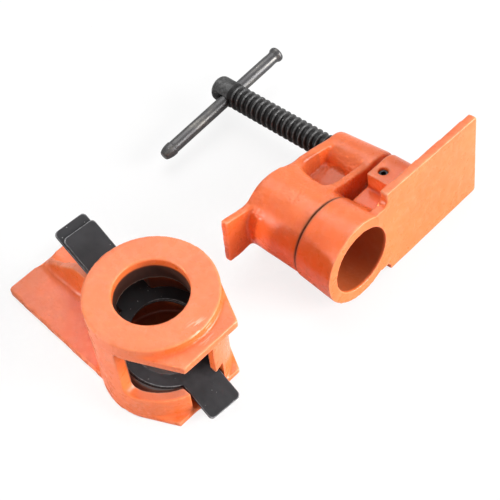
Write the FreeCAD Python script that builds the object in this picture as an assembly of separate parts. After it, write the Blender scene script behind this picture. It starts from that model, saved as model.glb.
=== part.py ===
import FreeCAD, Part

import math
import os

os.makedirs("parts", exist_ok=True)

V = FreeCAD.Vector

# Pipe and shared jaw sizes (mm)
pipe_hole_radius = 13.8
socket_radius = 13.2
jaw_half_width = 20.5
jaw_flare_half_width = 22.3
jaw_corner_radius = 1.2

# Sliding jaw, measured from its face along the pipe (-x) and toward the screw (+y)
jaw_plate_thickness = 3.6
jaw_reach = 70.1
jaw_root = 15.8
notch_half_width = 16.3
sleeve_length = 18.6
sleeve_front_radius = 18.8
sleeve_rear_radius = 17.4
block_start = 25.6
block_end = 44.3
block_half_height = 14.2
block_corner_radius = 9.0
web_half_height = 7.0
jaw_rib_half = 1.8
jaw_rib_depth = 7.5
jaw_rib_end = 64.0

# Place of the head end beside the tail stop: its bore centre at the jaw face
head_x = 33.9
head_y = 73.1

# Head casting
jaw_gap = 0.3
head_rear = -47.5
flange_front = -23.0
flange_thickness = 3.7
rear_wall_thickness = 4.5
barrel_rear_radius = 16.6
barrel_front_radius = 16.9
body_hull_radius = 16.8
screw_offset = 37.0
screw_hull_radius = 8.4
screw_boss_rear_radius = 9.0
screw_boss_front_radius = 10.7
middle_web_half = 3.0
wing_thickness = 3.4

# Spindle
thread_radius = 5.5
thread_clearance = 0.06
spindle_head_radius = 5.6
spindle_rear = -113.8
thread_start = -102.5
thread_end = -19.6
tip_radius = 5.4
tip_end = -6.0
tip_pocket_end = -5.6
tip_pocket_radius = 5.45
groove_start = -16.55
groove_end = -12.05
groove_radius = 3.9
grub_x = -14.3
grub_y = 30.4
grub_radius = 2.0
grub_hole_radius = 2.02
grub_top = 12.9
grub_bottom = -6.0
grub_hex_across = 2.0
grub_hex_depth = 2.0

# Tommy bar
bar_x = -105.5
bar_radius = 2.8
bar_hole_radius = 2.95
bar_tilt = 5.1
bar_low_length = 42.4
bar_high_length = 29.9
bar_low_cap_radius = 3.1
bar_low_cap_length = 5.6
bar_high_cap_radius = 3.45
bar_high_cap_length = 2.6
bar_dimple_radius = 1.6
bar_dimple_depth = 0.5

# Tail stop; the origin is its bore centre at the jaw face, which is the floor plane
tail_height = 47.2
housing_radius = 24.6
cavity_radius = 20.9
cavity_y = 0.8
cavity_floor = 4.0
cavity_roof = 36.0
ear_bottom = 39.3
ear_top = 43.2
ear_flat = 29.26
ear_half_width = 12.9
base_flat = 23.6
base_half_width = 15.5
base_lip_height = 2.75
tail_plate_end = -70.0
tail_plate_thickness = 4.0
tail_plate_near_end = -19.2
tail_plate_near_root = -22.3
tail_plate_root_x = -13.0
window_left = 5.0
window_right = 4.0
window_sill = 13.5
slot_near = -8.0
slot_far = 8.5
slot_bottom = 2.75
rear_gate_near = -6.0
rear_gate_far = 11.2
rear_gate_bottom = 15.4
rear_gate_top = 30.0
tail_rib_half = 1.7

# Clutch plates
plate_thickness = 1.7
plate_gap = 0.1
clutch_hole_radius = 14.1
clutch_ring_radius = 19.1
clutch_ring_x = 1.4
clutch_centre_y = 2.0
clutch_tab_half = 7.2
clutch_tilt = 24.0
upper_height = 18.5
upper_yaw = -3.5
upper_front = 35.4
upper_back = -50.5
lower_yaw = -2.9
lower_front = 26.5
lower_back = -54.9
tab_corner_radius = 1.6

# Clutch spring
spring_x = -33.0
spring_y = 6.4
spring_coil_radius = 4.0
spring_wire_radius = 0.5
spring_turns = 6
spring_foot_radius = 2.7
spring_foot_height = 3.0


def prism(points, axis, start, end):
    """Extrude a closed outline given in the plane normal to the axis."""
    build = {
        "x": lambda a, b: V(start, a, b),
        "y": lambda a, b: V(a, start, b),
        "z": lambda a, b: V(a, b, start),
    }[axis]
    corners = [build(a, b) for a, b in points]
    face = Part.Face(Part.makePolygon(corners + corners[:1]))
    step = end - start
    way = {"x": V(step, 0, 0), "y": V(0, step, 0), "z": V(0, 0, step)}[axis]
    return face.extrude(way)


def box(x0, x1, y0, y1, z0, z1):
    return Part.makeBox(x1 - x0, y1 - y0, z1 - z0, V(x0, y0, z0))


def rod_x(radius, start, end, y=0.0, z=0.0):
    return Part.makeCylinder(radius, end - start, V(start, y, z), V(1, 0, 0))


def rod_z(radius, start, end, x=0.0, y=0.0):
    return Part.makeCylinder(radius, end - start, V(x, y, start), V(0, 0, 1))


def cone_x(radius_start, radius_end, start, end):
    return Part.makeCone(radius_start, radius_end, end - start, V(start, 0, 0), V(1, 0, 0))


def round_edges(shape, radius, wanted):
    """Fillet the edges whose centre of mass passes the test."""
    edges = [e for e in shape.Edges if wanted(e)]
    return shape.makeFillet(radius, edges)


def along(edge, axis):
    """True for a straight edge lying along the axis."""
    if edge.Curve.TypeId != "Part::GeomLine":
        return False
    ends = [v.Point for v in edge.Vertexes]
    step = (ends[1] - ends[0]).normalize()
    return abs(step.dot(axis)) > 0.999


def capsule(radius_a, radius_b, spacing, start, end):
    """Hull of a circle at y = 0 and a smaller one at y = spacing, extruded along x."""
    tip = math.asin((radius_a - radius_b) / spacing)
    ca, sa = math.cos(tip), math.sin(tip)
    corners = [
        (radius_a * sa, radius_a * ca),
        (spacing + radius_b * sa, radius_b * ca),
        (spacing + radius_b * sa, -radius_b * ca),
        (radius_a * sa, -radius_a * ca),
    ]
    middle = prism(corners, "x", start, end)
    ends = [rod_x(radius_a, start, end), rod_x(radius_b, start, end, y=spacing)]
    return middle.multiFuse(ends).removeSplitter()


def screw_boss():
    length = flange_front - head_rear
    foot = V(head_rear, screw_offset, 0)
    return Part.makeCone(screw_boss_rear_radius, screw_boss_front_radius, length, foot, V(1, 0, 0))


def head_pockets():
    """Hollows above and below the middle web, leaving barrel and screw boss whole."""
    back = head_rear + rear_wall_thickness
    front = flange_front - flange_thickness
    outline = [
        (back, 34.3),
        (back, 14.6),
        (-37.0, 12.6),
        (-32.0, 11.3),
        (front - 1.4, 11.3),
        (front, 14.0),
        (front, 33.0),
        (front - 1.6, 34.6),
    ]
    top = prism(outline, "z", middle_web_half, 25.0)
    bottom = prism(outline, "z", -25.0, -middle_web_half)
    keep = rod_x(body_hull_radius, head_rear, flange_front).fuse(screw_boss())
    return [top.cut(keep), bottom.cut(keep)]


def wing():
    """Flat foot at the rear, opposite the screw, joined by a waisted neck."""
    outline = [
        (-27.8, -8.0),
        (-20.1, -8.2),
        (-16.8, -7.6),
        (-13.8, -8.3),
        (-11.5, -10.6),
        (-8.0, -14.4),
        (-8.0, 14.4),
        (-11.8, 11.9),
        (-14.0, 11.5),
        (-17.5, 11.9),
        (-22.0, 12.9),
        (-26.4, 13.7),
    ]
    return prism(outline, "x", head_rear, head_rear + wing_thickness)


def head_casting():
    front = -sleeve_length - jaw_gap
    barrel = cone_x(barrel_rear_radius, barrel_front_radius, head_rear, front)
    body = capsule(barrel_rear_radius - 0.05, screw_hull_radius, screw_offset, head_rear, flange_front)
    for pocket in head_pockets():
        body = body.cut(pocket)
    shape = body.multiFuse([barrel, screw_boss(), wing()]).removeSplitter()
    shape = shape.cut(rod_x(socket_radius, head_rear - 1, 0))
    nut = rod_x(thread_radius + thread_clearance, head_rear - 1, 0, y=screw_offset)
    return shape.cut(nut)


def jaw_plate_outline():
    """Jaw plate seen along the pipe: straight lower edge, flared upper edge, two notches."""
    ring = 19.6
    return [
        (jaw_root, -jaw_half_width),
        (jaw_reach, -jaw_half_width),
        (jaw_reach, jaw_half_width),
        (jaw_root, jaw_flare_half_width),
        (jaw_root, notch_half_width + 1.5),
        (jaw_root - 1.5, notch_half_width),
        (math.sqrt(ring**2 - notch_half_width**2), notch_half_width),
        (0.0, 12.0),
        (0.0, -12.0),
        (math.sqrt(ring**2 - notch_half_width**2), -notch_half_width),
        (jaw_root - 1.5, -notch_half_width),
        (jaw_root, -notch_half_width - 1.5),
    ]


def jaw_plate():
    plate = prism(jaw_plate_outline(), "x", -jaw_plate_thickness, 0.0)
    far = jaw_reach - 0.1
    plate = round_edges(
        plate,
        jaw_corner_radius,
        lambda e: along(e, V(1, 0, 0)) and e.CenterOfMass.y > far,
    )
    return plate


def screw_block():
    """Block that holds the spindle tip, with its web back to the sleeve."""
    block = box(
        -sleeve_length,
        -jaw_plate_thickness + 0.5,
        block_start,
        block_end,
        -block_half_height,
        block_half_height,
    )
    block = round_edges(
        block,
        block_corner_radius,
        lambda e: along(e, V(1, 0, 0)) and e.CenterOfMass.y > block_end - 0.1,
    )
    web = box(
        -sleeve_length,
        -jaw_plate_thickness + 0.5,
        14.0,
        block_start + 1.0,
        -web_half_height,
        web_half_height,
    )
    return block.fuse(web)


def jaw_rib():
    """Tapered rib stiffening the back of the plate beyond the block."""
    back = -jaw_plate_thickness
    outline = [
        (back + 0.5, block_end - 1.0),
        (back - jaw_rib_depth, block_end - 1.0),
        (back, jaw_rib_end),
        (back + 0.5, jaw_rib_end),
    ]
    return prism(outline, "z", -jaw_rib_half, jaw_rib_half)


def sliding_jaw():
    sleeve = cone_x(sleeve_rear_radius, sleeve_front_radius, -sleeve_length, 0.0)
    shape = sleeve.multiFuse([jaw_plate(), screw_block(), jaw_rib()]).removeSplitter()
    cuts = [
        rod_x(pipe_hole_radius, -sleeve_length - 1, 1),
        rod_x(tip_pocket_radius, -sleeve_length - 1, tip_pocket_end, y=screw_offset),
        rod_z(grub_hole_radius, grub_bottom - 0.5, block_half_height + 1, grub_x, grub_y),
    ]
    for cut in cuts:
        shape = shape.cut(cut)
    return shape


def jaw_grub_screw():
    """Headless hexagon-socket screw that sits in the groove of the spindle tip."""
    body = rod_z(grub_radius, grub_bottom, grub_top, grub_x, grub_y)
    body = body.makeChamfer(0.4, [e for e in body.Edges if e.Curve.TypeId == "Part::GeomCircle"])
    reach = grub_hex_across / 2 / math.cos(math.radians(30))
    corners = []
    for i in range(6):
        angle = math.radians(60 * i)
        corners.append((grub_x + reach * math.cos(angle), grub_y + reach * math.sin(angle)))
    return body.cut(prism(corners, "z", grub_top - grub_hex_depth, grub_top + 1))


def spindle():
    head = rod_x(spindle_head_radius, spindle_rear, thread_start, y=screw_offset)
    head = round_edges(
        head,
        1.8,
        lambda e: e.CenterOfMass.x < spindle_rear + 0.1,
    )
    thread = rod_x(thread_radius, thread_start, thread_end, y=screw_offset)
    tip = rod_x(tip_radius, thread_end, tip_end, y=screw_offset)
    tip = round_edges(tip, 1.0, lambda e: e.CenterOfMass.x > tip_end - 0.1)
    groove = rod_x(tip_radius + 1, groove_start, groove_end, y=screw_offset)
    groove = groove.cut(rod_x(groove_radius, groove_start - 1, groove_end + 1, y=screw_offset))
    shape = head.multiFuse([thread, tip.cut(groove)]).removeSplitter()
    return shape.cut(bar_rod(bar_hole_radius, -12, 12))


def bar_rod(radius, start, end):
    """Cylinder on the tommy bar's axis; distances run from the spindle axis to the high end."""
    tilt = math.radians(bar_tilt)
    way = V(0, math.cos(tilt), math.sin(tilt))
    foot = V(bar_x, screw_offset, 0) + way * start
    return Part.makeCylinder(radius, end - start, foot, way)


def tommy_bar():
    low = -bar_low_length
    high = bar_high_length
    rod = bar_rod(bar_radius, low + 0.2, high - 0.2)
    low_cap = bar_rod(bar_low_cap_radius, low, low + bar_low_cap_length)
    low_cap = low_cap.makeFillet(0.7, low_cap.Edges[:1] + low_cap.Edges[2:3])
    high_cap = bar_rod(bar_high_cap_radius, high - bar_high_cap_length, high)
    high_cap = high_cap.makeFillet(0.6, high_cap.Edges[:1] + high_cap.Edges[2:3])
    shape = rod.multiFuse([low_cap, high_cap]).removeSplitter()
    return shape.cut(bar_rod(bar_dimple_radius, high - bar_dimple_depth, high + 1))


def circle_ear(flat, half_width):
    """Outline of the housing circle drawn out to a flat ear: tangent points and corners."""
    reach = math.hypot(flat, half_width)
    corner = math.atan2(half_width, flat)
    turn = corner + math.acos(housing_radius / reach)
    x, y = housing_radius * math.cos(turn), housing_radius * math.sin(turn)
    return [(0.0, -y), (x, -y), (flat, -half_width), (flat, half_width), (x, y), (0.0, y)]


def ear(flat, half_width, start, end):
    points = circle_ear(flat, half_width)
    return prism(points, "z", start, end)


def tail_plate():
    outline = [
        (tail_plate_end, tail_plate_near_end),
        (tail_plate_root_x, tail_plate_near_root + 1.2),
        (0.0, -18.0),
        (0.0, 18.0),
        (tail_plate_root_x, jaw_half_width),
        (tail_plate_end, jaw_half_width),
    ]
    plate = prism(outline, "z", 0.0, tail_plate_thickness)
    far = tail_plate_end + 0.1
    return round_edges(
        plate,
        jaw_corner_radius,
        lambda e: along(e, V(0, 0, 1)) and e.CenterOfMass.x < far,
    )


def tail_rib():
    """Middle rib behind the plate, dipped near the housing to let the levers down."""
    outline = [
        (-67.5, 2.0),
        (-67.5, 7.0),
        (-58.0, 12.0),
        (-47.5, 20.0),
        (-40.0, 20.0),
        (-33.0, rear_gate_bottom),
        (-22.5, rear_gate_bottom),
        (-22.5, 2.0),
    ]
    return prism(outline, "y", -tail_rib_half, tail_rib_half)


def tail_openings():
    """Cavity, pipe bore, side window, front slot and rear gate for the levers."""
    front = housing_radius + 8
    window = box(window_left, front, -front, window_right, window_sill, ear_bottom)
    window = round_edges(
        window,
        4.0,
        lambda e: along(e, V(0, 1, 0))
        and e.CenterOfMass.x < window_left + 0.1
        and e.CenterOfMass.z < window_sill + 0.1,
    )
    return [
        rod_z(cavity_radius, cavity_floor, cavity_roof, y=cavity_y),
        rod_z(pipe_hole_radius, -1, tail_height + 1),
        window,
        box(cavity_radius - 6, front, slot_near, slot_far, slot_bottom, window_sill + 1),
        box(-front, -14.0, rear_gate_near, rear_gate_far, rear_gate_bottom, rear_gate_top),
    ]


def tail_casting():
    housing = rod_z(housing_radius, 0.0, tail_height)
    lip = ear(base_flat, base_half_width, 0.0, base_lip_height)
    top = ear(ear_flat, ear_half_width, ear_bottom, ear_top)
    shape = housing.multiFuse([lip, top, tail_plate(), tail_rib()]).removeSplitter()
    for opening in tail_openings():
        shape = shape.cut(opening)
    foot = rod_z(
        spring_foot_radius,
        tail_plate_thickness - 1,
        tail_plate_thickness + spring_foot_height,
        spring_x,
        spring_y,
    )
    return shape.fuse(foot).removeSplitter()


def clutch_blank(front, back):
    """Flat clutch plate with its upper face at z = 0: a ring with a lever at each end."""
    low = -plate_thickness
    half = clutch_tab_half
    strip = box(back, front, -half, half, low, 0)
    strip = round_edges(strip, tab_corner_radius, lambda e: along(e, V(0, 0, 1)))
    ring = rod_z(clutch_ring_radius, low, 0, clutch_ring_x)
    blank = ring.fuse(strip).removeSplitter()
    return blank.cut(rod_z(clutch_hole_radius, low - 1, 1, clutch_ring_x))


def lay_clutch(blank, depth, yaw):
    """Tip the plate down toward the front, swing it and set it in the housing."""
    origin = V(0, 0, 0)
    shape = blank.copy()
    shape.translate(V(0, 0, -depth))
    shape.rotate(origin, V(0, 1, 0), clutch_tilt)
    shape.rotate(origin, V(0, 0, 1), yaw)
    shape.translate(V(0, clutch_centre_y, upper_height))
    return shape


def clutch_plate_upper():
    return lay_clutch(clutch_blank(upper_front, upper_back), 0.0, upper_yaw)


def clutch_plate_lower():
    depth = plate_thickness + plate_gap
    return lay_clutch(clutch_blank(lower_front, lower_back), depth, lower_yaw)


def lower_underside(x):
    """Height of the lower clutch plate's underside above the floor at distance x."""
    tilt = math.radians(clutch_tilt)
    depth = 2 * plate_thickness + plate_gap
    return upper_height - x * math.tan(tilt) - depth / math.cos(tilt)


def clutch_spring():
    """Small compression spring on its foot under the lower lever, swept by half turns."""
    start = tail_plate_thickness + spring_wire_radius + 0.1
    end = lower_underside(spring_x + spring_coil_radius) - spring_wire_radius - 0.4
    rise = (end - start) / spring_turns / 2
    slope = math.atan2(rise, math.pi * spring_coil_radius)
    across = V(0, math.cos(slope), math.sin(slope))
    circle = Part.makeCircle(spring_wire_radius, V(spring_coil_radius, 0, 0), across)
    path = Part.Wire(Part.makeHelix(2 * rise, rise, spring_coil_radius))
    half_turn = path.makePipeShell([Part.Wire(circle)], True, True)
    pieces = []
    for i in range(2 * spring_turns):
        piece = half_turn.copy()
        piece.rotate(V(0, 0, 0), V(0, 0, 1), 180 * i)
        piece.translate(V(0, 0, rise * i))
        pieces.append(piece)
    coil = pieces[0].multiFuse(pieces[1:])
    coil.translate(V(spring_x, spring_y, start))
    return coil.Solids[0]


def head_tilt():
    """The head lies on the lower edge of its jaw plate and the rear rim of its barrel."""
    rise = jaw_half_width - barrel_rear_radius
    return math.atan2(rise, -head_rear - jaw_plate_thickness)


def place_head(shape):
    tilt = head_tilt()
    height = jaw_half_width * math.cos(tilt) + jaw_plate_thickness * math.sin(tilt)
    placed = shape.copy()
    placed.rotate(V(0, 0, 0), V(0, 1, 0), -math.degrees(tilt))
    placed.translate(V(head_x, head_y, height))
    return placed


head_pieces = {
    "head_casting": head_casting,
    "sliding_jaw": sliding_jaw,
    "jaw_grub_screw": jaw_grub_screw,
    "spindle": spindle,
    "tommy_bar": tommy_bar,
}
tail_pieces = {
    "tail_casting": tail_casting,
    "clutch_plate_lower": clutch_plate_lower,
    "clutch_plate_upper": clutch_plate_upper,
    "clutch_spring": clutch_spring,
}

for name, make in head_pieces.items():
    place_head(make()).exportStep(f"parts/{name}.step")
for name, make in tail_pieces.items():
    make().exportStep(f"parts/{name}.step")
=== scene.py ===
import math

import bmesh
import bpy
import numpy as np
from mathutils import Matrix, Vector, noise


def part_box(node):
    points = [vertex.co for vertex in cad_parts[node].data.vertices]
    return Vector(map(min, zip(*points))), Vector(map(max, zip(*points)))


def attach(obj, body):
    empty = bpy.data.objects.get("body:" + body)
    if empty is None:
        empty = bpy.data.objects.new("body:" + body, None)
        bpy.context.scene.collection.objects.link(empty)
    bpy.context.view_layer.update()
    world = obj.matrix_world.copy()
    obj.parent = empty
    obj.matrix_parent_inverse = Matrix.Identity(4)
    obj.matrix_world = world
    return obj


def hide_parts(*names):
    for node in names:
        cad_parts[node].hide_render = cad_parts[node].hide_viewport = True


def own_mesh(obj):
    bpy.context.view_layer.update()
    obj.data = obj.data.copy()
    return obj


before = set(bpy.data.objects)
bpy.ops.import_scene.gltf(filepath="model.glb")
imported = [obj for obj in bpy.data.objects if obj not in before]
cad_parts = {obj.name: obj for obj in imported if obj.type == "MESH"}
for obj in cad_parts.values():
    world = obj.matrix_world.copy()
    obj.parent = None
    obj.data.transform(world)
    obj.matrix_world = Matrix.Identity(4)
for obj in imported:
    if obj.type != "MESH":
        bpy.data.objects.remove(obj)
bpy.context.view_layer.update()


# Tail stop casting. Grey iron poured in sand and dipped in orange enamel: a jaw plate and a round
# housing for the clutch plates in one piece. It stands on its jaw face; the mould leaves every
# corner soft and the skin faintly lumpy.

tail_voxel = 0.0005
tail_soft_passes = 7
tail_shift = Vector((3, 1, 7))
merge_distance = 1e-6
smooth_step = 0.5
melt_fade = 0.4
ridge_radius = 0.001
ridge_passes = 4
lump_size = 0.007
lump_depth = 0.00012
grain_size = 0.0024
grain_depth = 0.00003
hollow_slack = 0.0006
hollow_fade = 0.0003
hollow_end_fade = 0.0008

enamel_orange = (0.90, 0.158, 0.033, 1)
enamel_bright = (0.93, 0.184, 0.043, 1)
enamel_mottled = (0.95, 0.248, 0.100, 1)
# Painted shade for creases, where the paint also pools thicker.
enamel_pooled_shade = (0.70, 0.070, 0.010, 1)
# Painted highlight for outer ridges, where the enamel also wears thin.
enamel_thin_highlit = (0.98, 0.47, 0.26, 1)
enamel_speck = (0.50, 0.085, 0.030, 1)
enamel_scratched = (0.97, 0.62, 0.44, 1)
# Painted shade for hollows, in two dark tones.
hollow_shade_dark = (0.030, 0.010, 0.006, 1)
hollow_shade_brown = (0.060, 0.022, 0.013, 1)
# Rubbed iron with a painted highlight, for edges inside the hollows.
iron_rubbed_highlit = (0.42, 0.33, 0.28, 1)
patch_size = 0.022
mottle_size = 0.0032
streak_size = 0.0016
speck_size = 0.0009
rust_size = 0.003
gloss_size = 0.005
peel_size = 0.0017
pebble_size = 0.0011
pebble_patch_size = 0.011
fine_peel = 0.00004
fine_pebble = 0.00005
scuff_place = (0.0238, 0.0005, 0.0460)
scuff_core = 0.0020
scuff_reach = 0.0055
scuff_stretch = (1, 0.15, 1)
scratch_size = 0.0010


def put(tree, kind, inputs=None, **settings):
    """Add one node; inputs maps a socket's name or number to a value or another node's output."""
    node = tree.nodes.new(kind)
    for key, value in settings.items():
        setattr(node, key, value)
    for key, value in (inputs or {}).items():
        socket = node.inputs[key]
        if isinstance(value, bpy.types.NodeSocket):
            tree.links.new(value, socket)
        else:
            socket.default_value = value
    return node


def new_finish(name):
    """Empty material with its shader, and the node that reads the piece's own coordinates."""
    material = bpy.data.materials.new(name)
    material.use_nodes = True
    tree = material.node_tree
    tree.nodes.clear()
    shader = put(tree, "ShaderNodeBsdfPrincipled")
    put(tree, "ShaderNodeOutputMaterial", {"Surface": shader.outputs["BSDF"]})
    place = put(tree, "ShaderNodeTexCoord").outputs["Object"]
    return material, tree, shader, place


def worked(tree, operation, *terms):
    """Work out one number from others, each a value or another node's output."""
    inputs = dict(enumerate(terms))
    return put(tree, "ShaderNodeMath", inputs, operation=operation).outputs[0]


def scaled(tree, value, low, high, out_low, out_high, **settings):
    """Map a grey value from one range to another, clamped at both ends unless told otherwise."""
    ends = {"From Min": low, "From Max": high, "To Min": out_low, "To Max": out_high}
    return put(tree, "ShaderNodeMapRange", {"Value": value, **ends}, **settings).outputs["Result"]


def blended(tree, share, first, second):
    """Mix two colours; either may be a fixed colour or another node's output."""
    inputs = {0: share, 6: first, 7: second}
    return put(tree, "ShaderNodeMix", inputs, data_type="RGBA").outputs[2]


def clouds(tree, place, size, detail=2.0, roughness=0.5):
    """Soft noise whose blobs are about the given size in metres."""
    inputs = {"Vector": place, "Scale": 1 / size, "Detail": detail, "Roughness": roughness}
    return put(tree, "ShaderNodeTexNoise", inputs).outputs["Fac"]


def stretched(tree, place, stretch):
    """The piece's coordinates drawn out along an axis, for streaks that run one way."""
    return put(tree, "ShaderNodeMapping", {"Vector": place, "Scale": stretch}).outputs["Vector"]


def marked(tree, name):
    """Number stored at each point of the skin."""
    return put(tree, "ShaderNodeAttribute", attribute_name=name).outputs["Fac"]


def bumped(tree, height, depth, under=None):
    """Raise the skin by a grey pattern, over an earlier bump where there is one."""
    inputs = {"Strength": 1.0, "Distance": depth, "Height": height}
    if under:
        inputs["Normal"] = under
    return put(tree, "ShaderNodeBump", inputs).outputs["Normal"]


def enamel(name, peel_depth, pebble_depth, scuff=None):
    """Orange enamel over cast iron: thin on ridges with a painted highlight, pooled in creases and
    dark in hollows with painted shade.
    """
    material, tree, shader, place = new_finish(name)
    ridge = marked(tree, "ridge")
    hollow_shade = marked(tree, "hollow_shade")
    patch = scaled(tree, clouds(tree, place, patch_size), 0.35, 0.65, 0.0, 1.0)
    colour = blended(tree, patch, enamel_orange, enamel_bright)
    mottle = scaled(tree, clouds(tree, place, mottle_size, 5.0, 0.7), 0.46, 0.64, 0.0, 0.40)
    colour = blended(tree, mottle, colour, enamel_mottled)
    # Painted shade: darker in creases, where the ridge mark falls below 0; the paint pools thicker
    # there too.
    pooled_shade = scaled(tree, ridge, -0.75, -0.10, 0.65, 0.0)
    colour = blended(tree, pooled_shade, colour, enamel_pooled_shade)
    # Painted highlight: pale streaks along outer ridges, where the enamel also wears thin.
    thin_highlit = scaled(tree, ridge, 0.28, 1.0, 0.0, 0.75)
    streak = scaled(tree, clouds(tree, place, streak_size, 3.0), 0.3, 0.7, 0.6, 1.0)
    colour = blended(tree, worked(tree, "MULTIPLY", thin_highlit, streak), colour, enamel_thin_highlit)
    speck = scaled(tree, clouds(tree, place, speck_size, 1.0), 0.70, 0.76, 0.0, 0.25)
    colour = blended(tree, speck, colour, enamel_speck)
    # Painted shade: a dark iron colour laid over bores, cavities, the pocket, the ledge and seams.
    hollow_dark = blended(tree, clouds(tree, place, rust_size, 3.0), hollow_shade_dark, hollow_shade_brown)
    if scuff:
        off = put(tree, "ShaderNodeVectorMath", {0: place, 1: scuff}, operation="DISTANCE")
        near = scaled(tree, off.outputs["Value"], scuff_core, scuff_reach, 0.85, 0.0)
        lined = stretched(tree, place, scuff_stretch)
        stroke = scaled(tree, clouds(tree, lined, scratch_size, 2.0), 0.53, 0.60, 0.0, 1.0)
        colour = blended(tree, worked(tree, "MULTIPLY", near, stroke), colour, enamel_scratched)
        # Pale rubbed iron along ridges inside the painted-shade hollows, also a painted highlight
        # on those edges.
        hollow_dark = blended(tree, scaled(tree, ridge, 0.15, 0.50, 0.0, 0.8), hollow_dark, iron_rubbed_highlit)
    colour = blended(tree, hollow_shade, colour, hollow_dark)
    tree.links.new(colour, shader.inputs["Base Color"])
    sheen = scaled(tree, clouds(tree, place, gloss_size, 3.0), 0.3, 0.7, 0.22, 0.36)
    sheen = worked(tree, "MULTIPLY_ADD", hollow_shade, 0.25, sheen)
    tree.links.new(sheen, shader.inputs["Roughness"])
    peel = bumped(tree, clouds(tree, place, peel_size), peel_depth)
    coarse = scaled(tree, clouds(tree, place, pebble_patch_size, 1.0), 0.44, 0.60, 0.15, 1.0)
    pebble = worked(tree, "MULTIPLY", clouds(tree, place, pebble_size, 0.0), coarse)
    tree.links.new(bumped(tree, pebble, pebble_depth, peel), shader.inputs["Normal"])
    shader.inputs["IOR"].default_value = 1.42
    shader.inputs["Coat Weight"].default_value = 0.12
    shader.inputs["Coat Roughness"].default_value = 0.08
    return material


def linked(name, data):
    """New object of the scene with this mesh, lamp or camera."""
    thing = bpy.data.objects.new(name, data)
    bpy.context.scene.collection.objects.link(thing)
    return thing


def made(name, shape):
    """New object with the mesh that was drawn."""
    mesh = bpy.data.meshes.new(name)
    shape.to_mesh(mesh)
    shape.free()
    return linked(name, mesh)


def copied(node, name, place):
    """New object with the solid's own mesh, its loose triangles merged, square to its axes."""
    shape = bmesh.new()
    shape.from_mesh(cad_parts[node].data)
    bmesh.ops.remove_doubles(shape, verts=shape.verts, dist=merge_distance)
    shape.transform(place.inverted())
    return made(name, shape)


def settled(piece, place=Matrix.Identity(4)):
    """Turn the object with its modifiers into a plain smooth mesh, put in its place."""
    evaluated = piece.evaluated_get(bpy.context.evaluated_depsgraph_get())
    mesh = bpy.data.meshes.new_from_object(evaluated)
    piece.modifiers.clear()
    piece.data = mesh
    mesh.transform(place)
    mesh.shade_smooth()
    return piece


def softened(piece, voxel, passes):
    """Rebuild the skin in even cells and round its corners."""
    skin = piece.modifiers.new("skin", "REMESH")
    skin.mode = "VOXEL"
    skin.voxel_size = voxel
    soft = piece.modifiers.new("soft", "SMOOTH")
    soft.factor = smooth_step
    soft.iterations = passes


def painted(piece, finish):
    """Give the piece this finish and no other."""
    piece.data.materials.clear()
    piece.data.materials.append(finish)


def points_of(mesh):
    points = np.empty(len(mesh.vertices) * 3)
    mesh.vertices.foreach_get("co", points)
    return points.reshape(-1, 3)


def normals_of(mesh):
    normals = np.empty(len(mesh.vertices) * 3, np.float32)
    mesh.vertex_normals.foreach_get("vector", normals)
    return normals.reshape(-1, 3)


def ends_of(mesh):
    ends = np.empty(len(mesh.edges) * 2, np.int32)
    mesh.edges.foreach_get("vertices", ends)
    return ends.reshape(-1, 2)


def move_to(mesh, points):
    mesh.vertices.foreach_set("co", points.ravel())
    mesh.update()


def store(mesh, name, values):
    kept = mesh.attributes.new(name, "FLOAT", "POINT")
    kept.data.foreach_set("value", values.astype(np.float32))


def neighbour_mean(ends, values):
    """Average of each point's neighbours, for every column of values."""
    count = len(values)
    one, other = ends.T
    share = np.maximum(np.bincount(ends.ravel(), minlength=count), 1)
    sums = [
        np.bincount(one, column[other], count) + np.bincount(other, column[one], count)
        for column in values.T
    ]
    return np.stack(sums, 1) / share[:, None]


def melt(mesh, place, spots):
    """Let the skin flow together around each spot: centre, reach, number of passes."""
    points = points_of(mesh)
    ends = ends_of(mesh)
    for centre, reach, passes in spots:
        off = np.linalg.norm(points - np.array(place @ Vector(centre)), axis=1)
        share = np.clip((reach - off) / (melt_fade * reach), 0, 1)[:, None]
        for _ in range(passes):
            points += smooth_step * share * (neighbour_mean(ends, points) - points)
    move_to(mesh, points)


def mark_ridges(mesh, cell):
    """Store how sharply the skin bends: 1 on a 1 mm outer corner, below 0 in a crease."""
    points = points_of(mesh)
    ends = ends_of(mesh)
    lag = points - neighbour_mean(ends, points)
    bend = (lag * normals_of(mesh)).sum(1) * 4 / cell**2 * ridge_radius
    for _ in range(ridge_passes):
        bend = neighbour_mean(ends, bend[:, None])[:, 0]
    store(mesh, "ridge", np.clip(bend, -1, 1))


def mark_hollow_shade(mesh, place, hollows):
    """Store how much painted shade darkens each round hollow: foot, direction, radius, start, stop,
    share.
    """
    points = points_of(mesh)
    hollow_dark = np.zeros(len(points))
    for foot, way, radius, start, stop, share in hollows:
        foot = np.array(place @ Vector(foot))
        way = np.array(place.to_3x3() @ Vector(way))
        along = (points - foot) @ way
        off = np.linalg.norm(points - foot - along[:, None] * way, axis=1)
        inner = np.clip((radius + hollow_slack - off) / hollow_fade, 0, 1)
        inner *= np.clip((along - start) / hollow_end_fade, 0, 1)
        inner *= np.clip((stop - along) / hollow_end_fade, 0, 1)
        hollow_dark = np.maximum(hollow_dark, inner * share)
    store(mesh, "hollow_shade", hollow_dark)


def roughen(mesh, shift):
    """Sink the skin unevenly, in broad lumps and fine grain, never outwards."""
    points = points_of(mesh)
    sink = np.array([
        lump_depth * (0.5 + 0.5 * noise.noise(Vector(p) / lump_size + shift))
        + grain_depth * (0.5 + 0.5 * noise.noise(Vector(p) / grain_size + shift))
        for p in points
    ])
    points -= normals_of(mesh) * np.clip(sink, 0, lump_depth + grain_depth)[:, None]
    move_to(mesh, points)


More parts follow.
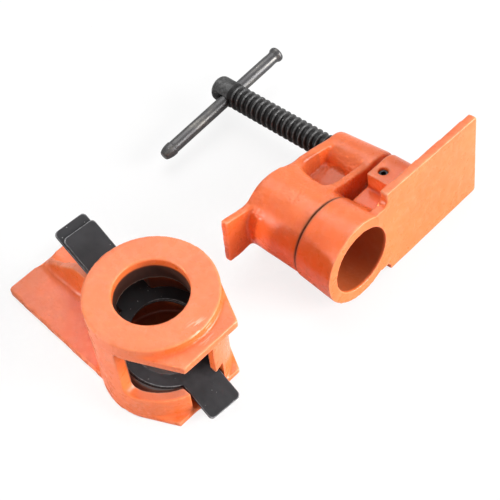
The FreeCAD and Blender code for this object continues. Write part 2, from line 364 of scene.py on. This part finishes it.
def cast(node, name, place, voxel, passes, finish, shift, hollows, spots=()):
    """Whole casting: softened copy of the solid with its ridges marked and its skin uneven."""
    piece = copied(node, name, place)
    softened(piece, voxel, passes)
    settled(piece, place)
    melt(piece.data, place, spots)
    mark_ridges(piece.data, voxel)
    mark_hollow_shade(piece.data, place, hollows)
    roughen(piece.data, shift)
    painted(piece, finish)
    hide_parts(node)
    return piece


up = (0, 0, 1)
pipe_hole_radius = 0.0138
cavity_radius = 0.0209
cavity_y = 0.0008
ledge_radius = 0.0233
gate_radius = 0.0098
# Painted shade darkens each of these hollows: the ring's bore, the plate cavity, the window ledge
# and the lever gate.
ring_bore = ((0, 0, 0), up, pipe_hole_radius, 0.0200, 0.0440, 1.0)
plate_cavity = ((0, cavity_y, 0), up, cavity_radius, 0.0030, 0.0370, 0.74)
window_ledge = ((0, 0, 0), up, ledge_radius, 0.0118, 0.0160, 0.26)
lever_gate = ((-0.0215, 0.0026, 0), up, gate_radius, 0.0145, 0.0310, 0.85)
rib_spots = [
    ((-0.064, 0, 0.004), 0.008, 60),
    ((-0.053, 0, 0.005), 0.010, 70),
    ((-0.043, 0, 0.007), 0.010, 50),
]
tail_stop = cast(
    "tail_casting",
    "tail_stop",
    Matrix.Identity(4),
    tail_voxel,
    tail_soft_passes,
    enamel("scuffed orange enamel", fine_peel, fine_pebble, scuff=scuff_place),
    tail_shift,
    [ring_bore, plate_cavity, window_ledge, lever_gate],
    rib_spots,
)
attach(tail_stop, "tail")


# Head casting. The same iron and enamel, with a coarser skin: the pipe screws into its barrel and
# the spindle runs through its boss. The whole head end lies on its side, nose up by the slope
# between the barrel's rear rim and the jaw plate's lower edge.

head_x = 0.0339
head_y = 0.0731
jaw_half_width = 0.0205
barrel_rear_radius = 0.0166
head_length = 0.0475
jaw_plate_thickness = 0.0036
head_slope = math.atan2(jaw_half_width - barrel_rear_radius, head_length - jaw_plate_thickness)
head_height = jaw_half_width * math.cos(head_slope) + jaw_plate_thickness * math.sin(head_slope)
nose_up = Matrix.Rotation(-head_slope, 4, "Y")
head_place = Matrix.Translation((head_x, head_y, head_height)) @ nose_up

head_voxel = 0.00045
head_soft_passes = 34
head_shift = Vector((9, 4, 2))
coarse_peel = 0.00005
coarse_pebble = 0.00030
rearward = (-1, 0, 0)
socket_radius = 0.0132
seam_radius = 0.0175
pocket_radius = 0.0090
# Painted shade in the pipe socket, as a dark seam line at the jaw, and on the pocket floor.
pipe_socket = ((0, 0, 0), rearward, socket_radius, 0.0180, 0.0465, 0.6)
front_seam = ((0, 0, 0), rearward, seam_radius, 0.0180, 0.0199, 0.9)
pocket_floor = ((-0.036, 0.019, 0), up, pocket_radius, -0.0020, 0.0130, 0.28)
pocket_spots = [((-0.036, 0.018, 0.012), 0.013, 50), ((-0.040, 0.0125, 0.013), 0.009, 150)]
head = cast(
    "head_casting",
    "head_body",
    head_place,
    head_voxel,
    head_soft_passes,
    enamel("coarse orange enamel", coarse_peel, coarse_pebble),
    head_shift,
    [pipe_socket, front_seam, pocket_floor],
    pocket_spots,
)
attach(head, "head")


# Sliding jaw. Another casting in the same enamel: a sleeve that rides on the pipe, the jaw plate,
# and a block bored for the tip of the spindle.

jaw_voxel = 0.00045
jaw_soft_passes = 5
jaw_shift = Vector((5, 8, 6))
sleeve_end_radius = 0.0176
# Painted shade in the jaw's bore and as a dark seam line at the head.
jaw_bore = ((0, 0, 0), rearward, pipe_hole_radius, 0.0006, 0.0181, 0.55)
rear_seam = ((0, 0, 0), rearward, sleeve_end_radius, 0.0176, 0.0200, 0.9)
jaw = cast(
    "sliding_jaw",
    "jaw",
    head_place,
    jaw_voxel,
    jaw_soft_passes,
    enamel("orange enamel", fine_peel, fine_pebble),
    jaw_shift,
    [jaw_bore, rear_seam],
)
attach(jaw, "jaw")


# Spindle. Turned steel bar with a coarse rolled thread, a plain drilled head for the tommy bar and
# a grooved tip, chemically blackened and oiled, so the crests rub grey and the roots stay black.

screw_offset = 0.0370
screw_sides = 56
thread_pitch = 0.0030
thread_crest = 0.00545
thread_root = 0.00405
thread_run_out = 0.002
thread_start = -0.1027
thread_stop = -0.0194
thread_rings = 420
stub_rear = -0.1138
stub_front = -0.1023
stub_radius = 0.0056
stub_corner = 0.0019
tip_radius = 0.0053
groove_radius = 0.0039
bar_x = -0.1055
bar_hole_radius = 0.00295
bar_hole_reach = 0.012
bar_hole_sides = 32
bar_tilt = math.radians(5.1)
quarter_turn = math.radians(90)
screw_side = head_place @ Matrix.Translation((0, screw_offset, 0))
screw_axis = screw_side @ Matrix.Rotation(quarter_turn, 4, "Y")
bar_middle = head_place @ Matrix.Translation((bar_x, screw_offset, 0))
bar_axis = bar_middle @ Matrix.Rotation(bar_tilt - quarter_turn, 4, "X")

screw_black = (0.014, 0.013, 0.013)
screw_rubbed = (0.13, 0.13, 0.13)
# Painted glint specks.
glint_grey = (0.38, 0.37, 0.36, 1)
oxide_darkest = 0.6
oxide_patch_size = 0.006
worn_patch_size = 0.0022
grit_size = 0.0012
glint_size = 0.0008
oil_size = 0.0015
line_size = 0.0007
line_depth = 0.00002


def black_steel(name, base, rubbed, rub_attribute, roughness, stretch=(1, 1, 1), rub_from=0.25):
    """Blackened steel: uneven dark oxide, rubbed pale where it is handled, with fine scratches and
    painted glint specks.
    """
    material, tree, shader, place = new_finish(name)
    lined = stretched(tree, place, stretch)
    patch = scaled(tree, clouds(tree, lined, oxide_patch_size, 4.0, 0.6), 0.35, 0.68, 0.0, 1.0)
    dark = tuple(oxide_darkest * c for c in base)
    colour = blended(tree, patch, (*dark, 1), (*base, 1))
    if rub_attribute:
        rub = scaled(tree, marked(tree, rub_attribute), rub_from, 1.0, 0.0, 1.0)
    else:
        rub = scaled(tree, clouds(tree, lined, worn_patch_size, 5.0, 0.7), 0.5, 0.72, 0.0, 1.0)
    grit = scaled(tree, clouds(tree, place, grit_size, 4.0, 0.7), 0.38, 0.68, 0.25, 1.0)
    colour = blended(tree, worked(tree, "MULTIPLY", rub, grit), colour, (*rubbed, 1))
    # Painted glints: small pale specks scattered over the steel.
    glint = scaled(tree, clouds(tree, place, glint_size, 0.0), 0.82, 0.86, 0.0, 0.6)
    colour = blended(tree, glint, colour, glint_grey)
    tree.links.new(colour, shader.inputs["Base Color"])
    oil = clouds(tree, lined, oil_size, 3.0)
    sheen = scaled(tree, oil, 0.3, 0.7, roughness - 0.08, roughness + 0.1)
    tree.links.new(sheen, shader.inputs["Roughness"])
    shader.inputs["Metallic"].default_value = 0.55
    scratches = bumped(tree, clouds(tree, lined, line_size, 4.0, 0.65), line_depth)
    tree.links.new(scratches, shader.inputs["Normal"])
    return material


def turned(name, outline, sides, place, finish):
    """Lathe a closed round body along z from (distance, radius) pairs."""
    shape = bmesh.new()
    rings = []
    for z, radius in outline:
        ring = []
        for i in range(sides):
            angle = 2 * math.pi * i / sides
            point = (radius * math.cos(angle), radius * math.sin(angle), z)
            ring.append(shape.verts.new(point))
        rings.append(ring)
    for low, high in zip(rings, rings[1:]):
        for i in range(sides):
            j = (i + 1) % sides
            shape.faces.new((low[i], low[j], high[j], high[i]))
    shape.faces.new(list(reversed(rings[0])))
    shape.faces.new(rings[-1])
    shape.transform(place)
    piece = made(name, shape)
    painted(piece, finish)
    piece.data.shade_smooth()
    return piece


def rounded(start, stop, radius, corner):
    """Outline of a plain round bar whose two ends are rounded over."""
    steps = 5
    outline = []
    for i in range(steps + 1):
        turn = math.pi / 2 * i / steps
        z = start + corner - corner * math.cos(turn)
        outline.append((z, radius - corner + corner * math.sin(turn)))
    return outline + [(start + stop - z, r) for z, r in reversed(outline)]


def new_tree(name, sizes):
    """Empty geometry tree with a named number for each size."""
    tree = bpy.data.node_groups.new(name, "GeometryNodeTree")
    body, number = "NodeSocketGeometry", "NodeSocketFloat"
    tree.interface.new_socket(name="Geometry", in_out="INPUT", socket_type=body)
    for size, value in sizes.items():
        socket = tree.interface.new_socket(name=size, in_out="INPUT", socket_type=number)
        socket.default_value = value
    tree.interface.new_socket(name="Geometry", in_out="OUTPUT", socket_type=body)
    return tree, put(tree, "NodeGroupInput").outputs


def position_in(tree):
    """Coordinates of the point being worked on."""
    position = put(tree, "GeometryNodeInputPosition").outputs[0]
    return put(tree, "ShaderNodeSeparateXYZ", {0: position}).outputs


def moved_to(tree, geometry, x, y, z):
    """Put every point of the geometry at these coordinates."""
    spot = put(tree, "ShaderNodeCombineXYZ", {"X": x, "Y": y, "Z": z}).outputs[0]
    inputs = {"Geometry": geometry, "Position": spot}
    return put(tree, "GeometryNodeSetPosition", inputs).outputs["Geometry"]


def end_tree(tree, geometry, finish):
    """Close the tree: real mesh, finish, output."""
    real = put(tree, "GeometryNodeRealizeInstances", {"Geometry": geometry}).outputs["Geometry"]
    coated = put(tree, "GeometryNodeSetMaterial", {"Geometry": real, "Material": finish})
    put(tree, "NodeGroupOutput", {"Geometry": coated.outputs["Geometry"]})


def grown(name, tree, sizes, place):
    """Run the tree with these sizes and keep the result as a plain mesh."""
    piece = linked(name, bpy.data.meshes.new(name))
    grow = piece.modifiers.new("grow", "NODES")
    grow.node_group = tree
    for item in tree.interface.items_tree:
        if item.in_out == "INPUT" and item.name in sizes:
            grow[item.identifier] = sizes[item.name]
    return settled(piece, place)


def thread_tree(sizes, finish):
    """A round bar whose radius rises and falls along a right-hand helix."""
    tree, given = new_tree("screw thread", sizes)
    crest = given["Crest"]
    length = given["Length"]
    steps = {"Vertices": screw_sides, "Side Segments": thread_rings}
    inputs = {**steps, "Radius": crest, "Depth": length}
    bar = put(tree, "GeometryNodeMeshCylinder", inputs).outputs["Mesh"]
    at = position_in(tree)
    around = worked(tree, "DIVIDE", worked(tree, "ARCTAN2", at["Y"], at["X"]), 2 * math.pi)
    turn = worked(tree, "SUBTRACT", worked(tree, "DIVIDE", at["Z"], given["Pitch"]), around)
    wave = worked(tree, "PINGPONG", turn, 0.5)
    dip = scaled(tree, wave, 0.06, 0.27, 0.0, 1.0, interpolation_type="SMOOTHSTEP")
    half_length = worked(tree, "MULTIPLY", length, 0.5)
    end_distance = worked(tree, "SUBTRACT", half_length, worked(tree, "ABSOLUTE", at["Z"]))
    cut = scaled(tree, end_distance, 0.0, given["Run-out"], 0.35, 1.0)
    full_depth = worked(tree, "SUBTRACT", crest, given["Root"])
    depth = worked(tree, "MULTIPLY", full_depth, worked(tree, "MULTIPLY", dip, cut))
    share = worked(tree, "DIVIDE", worked(tree, "SUBTRACT", crest, depth), crest)
    x = worked(tree, "MULTIPLY", at["X"], share)
    y = worked(tree, "MULTIPLY", at["Y"], share)
    inputs = {"Geometry": bar, "Name": "crest", "Value": worked(tree, "SUBTRACT", 1.0, dip)}
    stored = put(
        tree, "GeometryNodeStoreNamedAttribute", inputs, data_type="FLOAT", domain="POINT"
    )
    threaded = moved_to(tree, stored.outputs["Geometry"], x, y, at["Z"])
    end_tree(tree, threaded, finish)
    return tree


screw_steel = black_steel("oiled black steel", screw_black, screw_rubbed, "crest", roughness=0.42)
thread_sizes = {
    "Length": thread_stop - thread_start,
    "Pitch": thread_pitch,
    "Crest": thread_crest,
    "Root": thread_root,
    "Run-out": thread_run_out,
}
thread_middle = Matrix.Translation((0, 0, (thread_start + thread_stop) / 2))
spindle = grown(
    "spindle_screw",
    thread_tree(thread_sizes, screw_steel),
    thread_sizes,
    screw_axis @ thread_middle,
)
stub_outline = rounded(stub_rear, stub_front, stub_radius, stub_corner)
stub = turned("spindle_stub", stub_outline, screw_sides, screw_axis, screw_steel)
tip_outline = [
    (-0.0200, 0.0048), (-0.0196, tip_radius), (-0.0167, tip_radius),
    (-0.01655, groove_radius), (-0.01205, groove_radius),
    (-0.0119, tip_radius), (-0.0070, tip_radius), (-0.0063, 0.0050), (-0.0060, 0.0043),
]
tip = turned("spindle_tip", tip_outline, screw_sides, screw_axis, screw_steel)
hole_outline = [(-bar_hole_reach, bar_hole_radius), (bar_hole_reach, bar_hole_radius)]
cross_hole = turned("cross_hole", hole_outline, bar_hole_sides, bar_axis, screw_steel)


def combined(piece, other, operation):
    """Join or cut one closed body with another and drop the other."""
    step = piece.modifiers.new(operation.lower(), "BOOLEAN")
    step.operation = operation
    step.solver = "EXACT"
    step.object = other
    settled(piece)
    bpy.data.objects.remove(other)


combined(stub, cross_hole, "DIFFERENCE")
combined(spindle, stub, "UNION")
combined(spindle, tip, "UNION")
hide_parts("spindle")
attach(spindle, "screw")


# Tommy bar. Plain drawn bar pushed through the spindle's head, its two ends upset by hammering so
# that it can't fall out; the black finish is rubbed to brown-grey streaks along its length.

bar_sides = 40
bar_radius = 0.0028
bar_low = -0.0424
bar_high = 0.0299
shank_start = 0.0070
shank_step = 0.0010
shank_rings = 58
low_upset = [
    (0, 0.0019), (0.0002, 0.00215), (0.0010, 0.00250), (0.0022, 0.00285), (0.0034, 0.00305),
    (0.0048, 0.00310), (0.0053, 0.00310), (0.0055, 0.00290), (0.0057, 0.00276),
    (0.0060, 0.00276), (0.0062, bar_radius),
]
high_upset = [
    (0.0068, bar_radius), (0.0058, 0.00272), (0.0046, 0.00268), (0.0036, 0.00272),
    (0.0029, 0.00288), (0.0022, 0.00330), (0.0015, 0.00345), (0.0008, 0.00340),
    (0.0003, 0.00305), (0, 0.0024),
]
bar_outline = [(bar_low + off, radius) for off, radius in low_upset]
bar_outline += [(bar_low + shank_start + shank_step * i, bar_radius) for i in range(shank_rings)]
bar_outline += [(bar_high - off, radius) for off, radius in high_upset]
bar_black = (0.085, 0.083, 0.085)
bar_rubbed = (0.24, 0.225, 0.19)
bar_streaks = (1, 0.16, 1)
bar_steel = black_steel(
    "rubbed bar steel", bar_black, bar_rubbed, None, roughness=0.36, stretch=bar_streaks
)
tommy_bar = turned("handle_bar", bar_outline, bar_sides, bar_axis, bar_steel)
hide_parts("tommy_bar")
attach(tommy_bar, "handle")


# Grub screw. Headless blackened screw with a hexagon socket, turned down into the spindle's groove
# from the top of the jaw's block.

grub_voxel = 0.00012
grub_soft_passes = 3
grub_black = (0.020, 0.020, 0.022)
grub_rubbed = (0.10, 0.10, 0.10)
grub_steel = black_steel("grub screw steel", grub_black, grub_rubbed, "ridge", roughness=0.42)
grub_screw = copied("jaw_grub_screw", "grub_screw", head_place)
softened(grub_screw, grub_voxel, grub_soft_passes)
settled(grub_screw, head_place)
mark_ridges(grub_screw.data, grub_voxel)
painted(grub_screw, grub_steel)
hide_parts("jaw_grub_screw")
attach(grub_screw, "jaw")


# Clutch plates. Two flat rings with a lever at each end, stamped from 2 mm spring steel and
# blackened. They hang in the front slot and bite the pipe when they lean; the punch leaves their
# edges rounded and rubbed bright.

clutch_tilt = math.radians(24)
lower_yaw = math.radians(-2.9)
upper_yaw = math.radians(-3.5)
plate_voxel = 0.0003
plate_soft_passes = 3
plate_black = (0.032, 0.031, 0.034)
plate_rubbed = (0.42, 0.42, 0.43)
plate_steel = black_steel(
    "stamped black steel", plate_black, plate_rubbed, "ridge", roughness=0.48, rub_from=0.65
)


def stamped(node, name, yaw, body):
    """Thin plate softened square to its own plane."""
    place = Matrix.Rotation(yaw, 4, "Z") @ Matrix.Rotation(clutch_tilt, 4, "Y")
    plate = copied(node, name, place)
    softened(plate, plate_voxel, plate_soft_passes)
    settled(plate, place)
    mark_ridges(plate.data, plate_voxel)
    painted(plate, plate_steel)
    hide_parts(node)
    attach(plate, body)


stamped("clutch_plate_lower", "lower_clutch_plate", lower_yaw, "clutch_lower")
stamped("clutch_plate_upper", "upper_clutch_plate", upper_yaw, "clutch_upper")


# Clutch spring. Seven turns of bright spring wire wound cold, standing on a cast spigot and
# pushing the lower lever up; its two end turns are closed.

spring_turns = 7.0
spring_steps = 36
coil_radius = 0.0040
wire_radius = 0.0005
wire_sides = 12
closed_turns = 0.10
closed_height = 0.04
wire_dark = (0.22, 0.22, 0.225)
wire_bright = (0.42, 0.42, 0.42)
spring_place = Vector((-0.0330, 0.0064, 0.0))
spring_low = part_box("clutch_spring")[0].z
spring_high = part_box("clutch_spring")[1].z
spring_sizes = {
    "Height": spring_high - spring_low - 2 * wire_radius,
    "Radius": coil_radius,
    "Wire": wire_radius,
}


def spring_tree(sizes, finish):
    """A helix of round wire whose end turns close up."""
    tree, given = new_tree("coil spring", sizes)
    height = given["Height"]
    winding = {"Resolution": spring_steps, "Rotations": spring_turns, "Reverse": True}
    radii = {"Start Radius": given["Radius"], "End Radius": given["Radius"]}
    inputs = {**winding, **radii, "Height": height}
    path = put(tree, "GeometryNodeCurveSpiral", inputs).outputs["Curve"]
    inputs = {"Resolution": wire_sides, "Radius": given["Wire"]}
    ring = put(tree, "GeometryNodeCurvePrimitiveCircle", inputs, mode="RADIUS").outputs["Curve"]
    at = position_in(tree)
    share = worked(tree, "DIVIDE", at["Z"], height)
    open_turns = 1 - closed_turns
    open_height = 1 - closed_height
    between = (closed_turns, open_turns, closed_height, open_height)
    middle = scaled(tree, share, *between, clamp=False)
    foot = worked(tree, "MULTIPLY", share, closed_height / closed_turns)
    top = scaled(tree, share, open_turns, 1.0, open_height, 1.0, clamp=False)
    eased = worked(tree, "MINIMUM", worked(tree, "MAXIMUM", middle, foot), top)
    z = worked(tree, "MULTIPLY", eased, height)
    shaped = moved_to(tree, path, at["X"], at["Y"], z)
    inputs = {"Curve": shaped, "Profile Curve": ring, "Fill Caps": True}
    wire = put(tree, "GeometryNodeCurveToMesh", inputs).outputs["Mesh"]
    end_tree(tree, wire, finish)
    return tree


spring_steel = black_steel("spring wire", wire_dark, wire_bright, None, roughness=0.30)
spring = grown(
    "clutch_spring_coil",
    spring_tree(spring_sizes, spring_steel),
    spring_sizes,
    Matrix.Translation(spring_place + Vector((0, 0, spring_low + wire_radius))),
)
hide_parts("clutch_spring")
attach(spring, "tail")
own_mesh(spring)


# Floor. A plain pale sweep of matt paper under the clamp; it shows white to the lens and still
# takes the soft shadow. Under the tail stop's bore the white glow is left out: a painted shade disc
# of plain grey paper, which stays there even when the tail stop is lifted.

floor_corners = [(-3, -3, 0), (3, -3, 0), (3, 3, 0), (-3, 3, 0)]
paper_grain_size = 0.004
paper_dim = (0.49, 0.49, 0.49, 1)
paper_bright = (0.52, 0.52, 0.52, 1)
paper_mirrored = (0.8, 0.8, 0.8, 1)
lens_white = 1.35
lens_share = 0.6
painted_shade_radius = 0.019
open_radius = 0.025
floor_mesh = bpy.data.meshes.new("floor")
floor_mesh.from_pydata(floor_corners, [], [(0, 1, 2, 3)])
floor = linked("floor", floor_mesh)
paper = bpy.data.materials.new("white paper")
paper.use_nodes = True
sheet = paper.node_tree
sheet.nodes.clear()
sheet_place = put(sheet, "ShaderNodeTexCoord").outputs["Object"]
floor_rays = put(sheet, "ShaderNodeLightPath").outputs
grain = clouds(sheet, sheet_place, paper_grain_size, 3.0)
tint = blended(sheet, grain, paper_dim, paper_bright)
tint = blended(sheet, floor_rays["Is Glossy Ray"], tint, paper_mirrored)
matt = put(sheet, "ShaderNodeBsdfDiffuse", {"Color": tint}).outputs["BSDF"]
glow = {"Color": (1, 1, 1, 1), "Strength": lens_white}
white = put(sheet, "ShaderNodeEmission", glow).outputs["Emission"]
reach = put(sheet, "ShaderNodeVectorMath", {0: sheet_place}, operation="LENGTH").outputs["Value"]
# Painted shade: within 19 to 25 mm of the middle the white glow fades out, so the paper shows grey.
open_floor = scaled(sheet, reach, painted_shade_radius, open_radius, 0.0, lens_share)
lens_part = worked(sheet, "MULTIPLY", floor_rays["Is Camera Ray"], open_floor)
mixed = put(sheet, "ShaderNodeMixShader", {0: lens_part, 1: matt, 2: white}).outputs["Shader"]
put(sheet, "ShaderNodeOutputMaterial", {"Surface": mixed})
floor_mesh.materials.append(paper)


# Light. A dim even tent with one soft box high at the back and one to the right. A small box low
# on the left has a narrow beam aimed at the tail stop, whose shadow keeps the head's near side
# deep. Each box lists what it is aimed at, its way from there, width, watts and spread.

tent_glow = 0.30
tent_white = 1.0
clamp_middle = Vector((-0.013, 0.059, 0.0))
tail_middle = Vector((0.004, -0.010, 0.020))
right = Vector((0.747, 0.665, 0))
away = Vector((-0.665, 0.747, 0))
high = Vector((0, 0, 1))
soft_boxes = {
    "back box": (clamp_middle, away * 0.58 - right * 0.1 + high * 1.12, 1.0, 8.2, 180),
    "left box": (tail_middle, right * -0.60 - away * 0.23 + high * 0.23, 0.09, 0.028, 12),
    "right box": (clamp_middle, right * 1.0 - away * 0.20 + high * 0.30, 0.7, 21.0, 180),
}
room = bpy.data.worlds.new("white tent")
bpy.context.scene.world = room
room.use_nodes = True
tent = room.node_tree
tent_rays = put(tent, "ShaderNodeLightPath").outputs
seen = worked(tent, "MAXIMUM", tent_rays["Is Camera Ray"], tent_rays["Is Glossy Ray"])
seen = worked(tent, "MAXIMUM", seen, tent_rays["Is Transmission Ray"])
cloth = tent.nodes["Background"]
cloth.inputs["Color"].default_value = (1, 1, 1, 1)
tent.links.new(scaled(tent, seen, 0.0, 1.0, tent_glow, tent_white), cloth.inputs["Strength"])
for name, (target, offset, width, watts, spread) in soft_boxes.items():
    lamp = bpy.data.lights.new(name, "AREA")
    lamp.shape = "SQUARE"
    lamp.size = width
    lamp.energy = watts
    lamp.spread = math.radians(spread)
    box = linked(name, lamp)
    box.location = target + offset
    box.rotation_euler = (-offset).to_track_quat("-Z", "Y").to_euler()


# Camera. A long lens held above the clamp and rolled a little. It looks down on both fittings from
# the side that the tail stop's window faces.

lens_place = Vector((0.2023, -0.1325, 0.3784))
lens_target = Vector((-0.01318, 0.05946, 0.0))
lens_roll = math.radians(-5.88)
lens_length = 85.07
film_width = 36
nearest = 0.01
back = (lens_place - lens_target).normalized()
level = Vector((0, 0, 1)).cross(back).normalized()
upright = back.cross(level)
across = level * math.cos(lens_roll) + upright * math.sin(lens_roll)
lifted = upright * math.cos(lens_roll) - level * math.sin(lens_roll)
lens_turn = Matrix((across, lifted, back)).transposed().to_4x4()
camera = linked("camera", bpy.data.cameras.new("camera"))
camera.data.sensor_width = film_width
camera.data.lens = lens_length
camera.data.clip_start = nearest
camera.matrix_world = Matrix.Translation(lens_place) @ lens_turn
bpy.context.scene.camera = camera
bpy.context.scene.view_settings.view_transform = "Standard"
